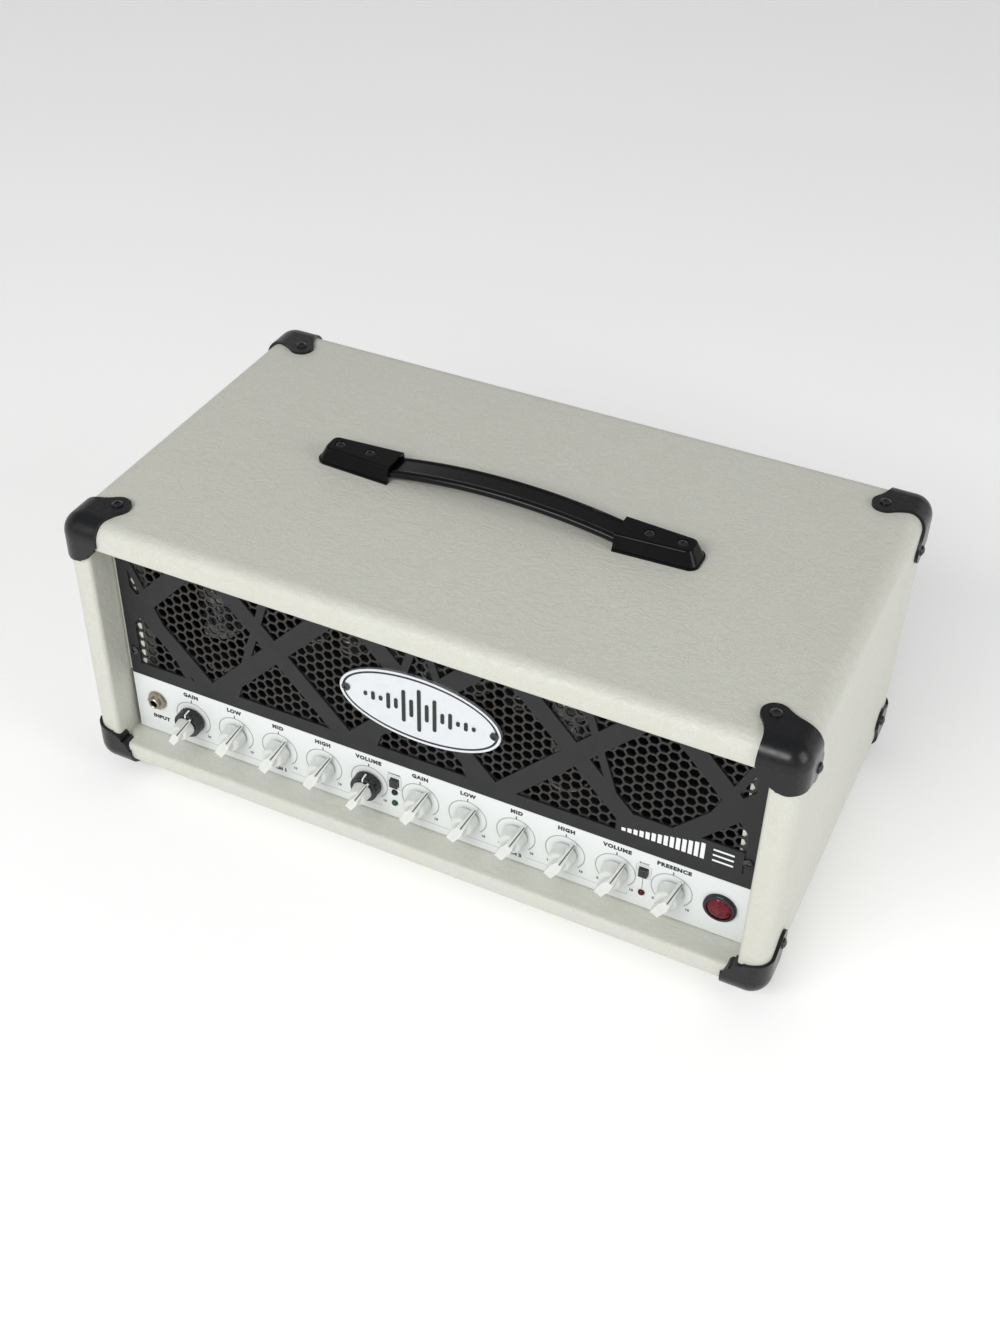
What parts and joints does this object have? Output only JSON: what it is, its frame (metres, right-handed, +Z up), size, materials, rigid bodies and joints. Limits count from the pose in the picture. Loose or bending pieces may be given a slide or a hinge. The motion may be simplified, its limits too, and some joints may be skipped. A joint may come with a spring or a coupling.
{
  "type": "guitar amplifier head",
  "caption": "Valve guitar amplifier head: ivory covered cabinet with black corners and strap handle, black banded mesh grille, oval badge and a white panel of pointer knobs.",
  "frame": {"origin": "centre of the object's box in plan, on the plane of the feet", "axes": "+X to the right as seen from the front, along the long side; the front and its controls face -Y; +Z up"},
  "size_m": [0.562, 0.3212, 0.2626],
  "materials": {
    "wood": "plywood, unfinished inside",
    "vinyl": "ivory vinyl with a fine pebbled grain",
    "corner_plastic": "black moulded plastic, satin",
    "black_screw": "black plated steel",
    "rubber": "black rubber",
    "strap": "black moulded strap, satin",
    "cap_plastic": "black moulded plastic, satin",
    "grille_paint": "black powder coat",
    "mesh_paint": "black coated steel mesh",
    "badge_metal": "silver white satin",
    "panel_paint": "white satin paint",
    "jack_metal": "nickel plate",
    "steel": "zinc plated steel",
    "knob_ivory": "ivory white moulded plastic",
    "knob_black": "black moulded plastic",
    "switch_black": "black moulded plastic",
    "led_lens": "tinted lens",
    "bezel": "dark moulded bezel",
    "jewel": "faceted red lens",
    "board": "green circuit board",
    "capacitor": "dark sleeve",
    "socket_ceramic": "white ceramic",
    "valve_base": "dark phenolic",
    "valve_glass": "clear glass",
    "shield": "bright aluminium",
    "transformer": "black enamel"
  },
  "bodies": {
    "cabinet": {"cabinet_top": "wood", "cabinet_bottom": "wood", "cabinet_side_left": "wood", "cabinet_side_right": "wood", "vinyl_covering": "vinyl", "grille_cleats": "vinyl", "corner_protectors": "corner_plastic", "corner_screws": "black_screw", "handle_screws": "black_screw", "grille_screws": "black_screw", "badge_screws": "black_screw", "chassis_bolts": "black_screw", "foot_screws": "black_screw", "rubber_feet": "rubber", "handle_strap": "strap", "handle_caps": "cap_plastic", "grille_plate": "grille_paint", "rear_grille": "grille_paint", "grille_mesh": "mesh_paint", "badge": "badge_metal", "control_panel": "panel_paint", "input_jack": "jack_metal", "potentiometers": "steel", "chassis": "steel", "mains_inlet": "switch_black", "switch_frames": "switch_black", "rear_jacks": "switch_black", "indicator_leds": "led_lens", "pilot_lamp_bezel": "bezel", "pilot_lamp_jewel": "jewel", "circuit_board": "board", "filter_capacitors": "capacitor", "valve_sockets": "socket_ceramic", "power_valve_bases": "valve_base", "power_valve_glass": "valve_glass", "preamp_valves": "valve_glass", "valve_shields": "shield", "power_transformer": "transformer", "output_transformer": "transformer", "choke": "transformer"},
    "knob_gain_1": {"knob_gain_1": "knob_ivory"},
    "knob_low_1": {"knob_low_1": "knob_ivory"},
    "knob_mid_1": {"knob_mid_1": "knob_ivory"},
    "knob_high_1": {"knob_high_1": "knob_ivory"},
    "knob_volume_1": {"knob_volume_1": "knob_ivory"},
    "knob_gain_2": {"knob_gain_2": "knob_ivory"},
    "knob_low_2": {"knob_low_2": "knob_ivory"},
    "knob_mid_2": {"knob_mid_2": "knob_ivory"},
    "knob_high_2": {"knob_high_2": "knob_ivory"},
    "knob_volume_2": {"knob_volume_2": "knob_ivory"},
    "knob_presence": {"knob_presence": "knob_ivory"},
    "ring_gain_1": {"ring_gain_1": "knob_black"},
    "ring_volume_1": {"ring_volume_1": "knob_black"},
    "channel_button": {"channel_button": "switch_black"},
    "boost_button": {"boost_button": "switch_black"},
    "fuse_drawer": {"fuse_drawer": "switch_black"},
    "power_rocker": {"power_rocker": "switch_black"},
    "standby_rocker": {"standby_rocker": "switch_black"},
    "impedance_selector": {"impedance_selector": "knob_black"},
    "resonance_knob": {"resonance_knob": "knob_black"}
  },
  "joints": [
    {"name": "turn_knob_gain_1", "type": "hinge", "parent": "cabinet", "child": "knob_gain_1", "pos_m": [-0.1992, -0.134, 0.0656], "axis": [0, 1, 0], "range_deg": [-180, 120]},
    {"name": "turn_knob_low_1", "type": "hinge", "parent": "cabinet", "child": "knob_low_1", "pos_m": [-0.1604, -0.134, 0.0656], "axis": [0, 1, 0], "range_deg": [-180, 120]},
    {"name": "turn_knob_mid_1", "type": "hinge", "parent": "cabinet", "child": "knob_mid_1", "pos_m": [-0.1216, -0.134, 0.0656], "axis": [0, 1, 0], "range_deg": [-180, 120]},
    {"name": "turn_knob_high_1", "type": "hinge", "parent": "cabinet", "child": "knob_high_1", "pos_m": [-0.0828, -0.134, 0.0656], "axis": [0, 1, 0], "range_deg": [-180, 120]},
    {"name": "turn_knob_volume_1", "type": "hinge", "parent": "cabinet", "child": "knob_volume_1", "pos_m": [-0.044, -0.134, 0.0656], "axis": [0, 1, 0], "range_deg": [-180, 120]},
    {"name": "turn_knob_gain_2", "type": "hinge", "parent": "cabinet", "child": "knob_gain_2", "pos_m": [-0.0012, -0.134, 0.0656], "axis": [0, 1, 0], "range_deg": [-180, 120]},
    {"name": "turn_knob_low_2", "type": "hinge", "parent": "cabinet", "child": "knob_low_2", "pos_m": [0.0376, -0.134, 0.0656], "axis": [0, 1, 0], "range_deg": [-180, 120]},
    {"name": "turn_knob_mid_2", "type": "hinge", "parent": "cabinet", "child": "knob_mid_2", "pos_m": [0.0764, -0.134, 0.0656], "axis": [0, 1, 0], "range_deg": [-180, 120]},
    {"name": "turn_knob_high_2", "type": "hinge", "parent": "cabinet", "child": "knob_high_2", "pos_m": [0.1152, -0.134, 0.0656], "axis": [0, 1, 0], "range_deg": [-180, 120]},
    {"name": "turn_knob_volume_2", "type": "hinge", "parent": "cabinet", "child": "knob_volume_2", "pos_m": [0.154, -0.134, 0.0656], "axis": [0, 1, 0], "range_deg": [-180, 120]},
    {"name": "turn_knob_presence", "type": "hinge", "parent": "cabinet", "child": "knob_presence", "pos_m": [0.1964, -0.134, 0.0656], "axis": [0, 1, 0], "range_deg": [-180, 120]},
    {"name": "turn_ring_gain_1", "type": "hinge", "parent": "cabinet", "child": "ring_gain_1", "pos_m": [-0.1992, -0.134, 0.0656], "axis": [0, 1, 0], "range_deg": [-150, 150]},
    {"name": "turn_ring_volume_1", "type": "hinge", "parent": "cabinet", "child": "ring_volume_1", "pos_m": [-0.044, -0.134, 0.0656], "axis": [0, 1, 0], "range_deg": [-150, 150]},
    {"name": "press_channel_button", "type": "slide", "parent": "cabinet", "child": "channel_button", "axis": [0, 1, 0], "range_m": [0, 0.0015], "stiffness_N_per_m": 400},
    {"name": "press_boost_button", "type": "slide", "parent": "cabinet", "child": "boost_button", "axis": [0, 1, 0], "range_m": [0, 0.0015], "stiffness_N_per_m": 400},
    {"name": "slide_fuse_drawer", "type": "slide", "parent": "cabinet", "child": "fuse_drawer", "axis": [0, 1, 0], "range_m": [0, 0.018]},
    {"name": "tilt_power_rocker", "type": "hinge", "parent": "cabinet", "child": "power_rocker", "pos_m": [0.15, 0.133, 0.0656], "axis": [1, 0, 0], "range_deg": [0, 20]},
    {"name": "tilt_standby_rocker", "type": "hinge", "parent": "cabinet", "child": "standby_rocker", "pos_m": [0.122, 0.133, 0.0656], "axis": [1, 0, 0], "range_deg": [0, 20]},
    {"name": "turn_impedance_selector", "type": "hinge", "parent": "cabinet", "child": "impedance_selector", "pos_m": [0.005, 0.134, 0.0656], "axis": [0, 1, 0], "range_deg": [-30, 30]},
    {"name": "turn_resonance_knob", "type": "hinge", "parent": "cabinet", "child": "resonance_knob", "pos_m": [-0.15, 0.134, 0.0656], "axis": [0, 1, 0], "range_deg": [-150, 150]}
  ]
}
